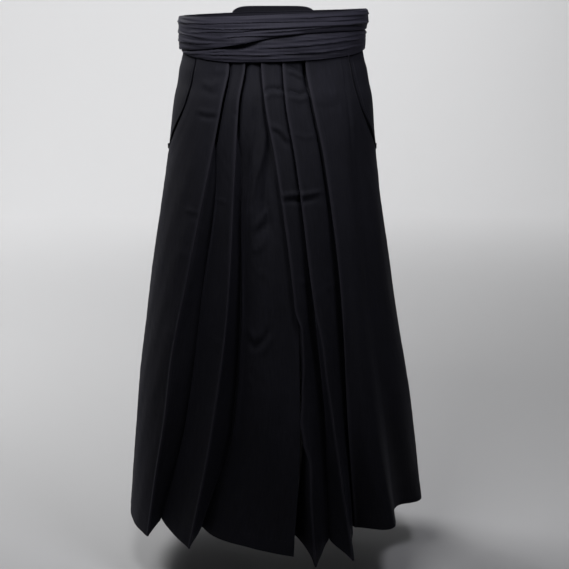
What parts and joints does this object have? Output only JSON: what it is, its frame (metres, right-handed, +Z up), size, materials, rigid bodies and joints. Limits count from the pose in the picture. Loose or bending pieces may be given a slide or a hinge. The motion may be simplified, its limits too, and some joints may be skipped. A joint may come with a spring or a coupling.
{
  "type": "hakama trousers",
  "caption": "Wide pleated divided trousers with waist ties wound round the top, side openings at the hips and a stiff trapezoid board at the back, held in the hollow form of wear.",
  "frame": {"origin": "middle of the waist hold, inside the wound ties and half way up them", "axes": "+Z up; the garment faces -Y; the wearer's left is +X"},
  "size_m": [0.6144, 0.5061, 1.053],
  "materials": {
    "pleated_cloth": "blue-black plain-weave polyester and rayon suiting, pressed pleats, faint dull sheen",
    "inner_leg_cloth": "the same blue-black cloth, unpressed",
    "tie_cloth": "folded and stitched tie of the same cloth, slightly bluer where it catches the light",
    "board_cloth": "the same cloth drawn over a stiff board, edge stitched",
    "tack_thread": "close bar of dark sewing thread"
  },
  "bodies": {
    "root": {"front_right": "pleated_cloth", "front_left": "pleated_cloth", "back_left": "pleated_cloth", "back_right": "pleated_cloth", "inner_leg_right": "inner_leg_cloth", "inner_leg_left": "inner_leg_cloth", "front_ties": "tie_cloth", "back_ties": "tie_cloth", "back_board": "board_cloth", "side_tack_right": "tack_thread", "side_tack_left": "tack_thread"}
  },
  "joints": []
}
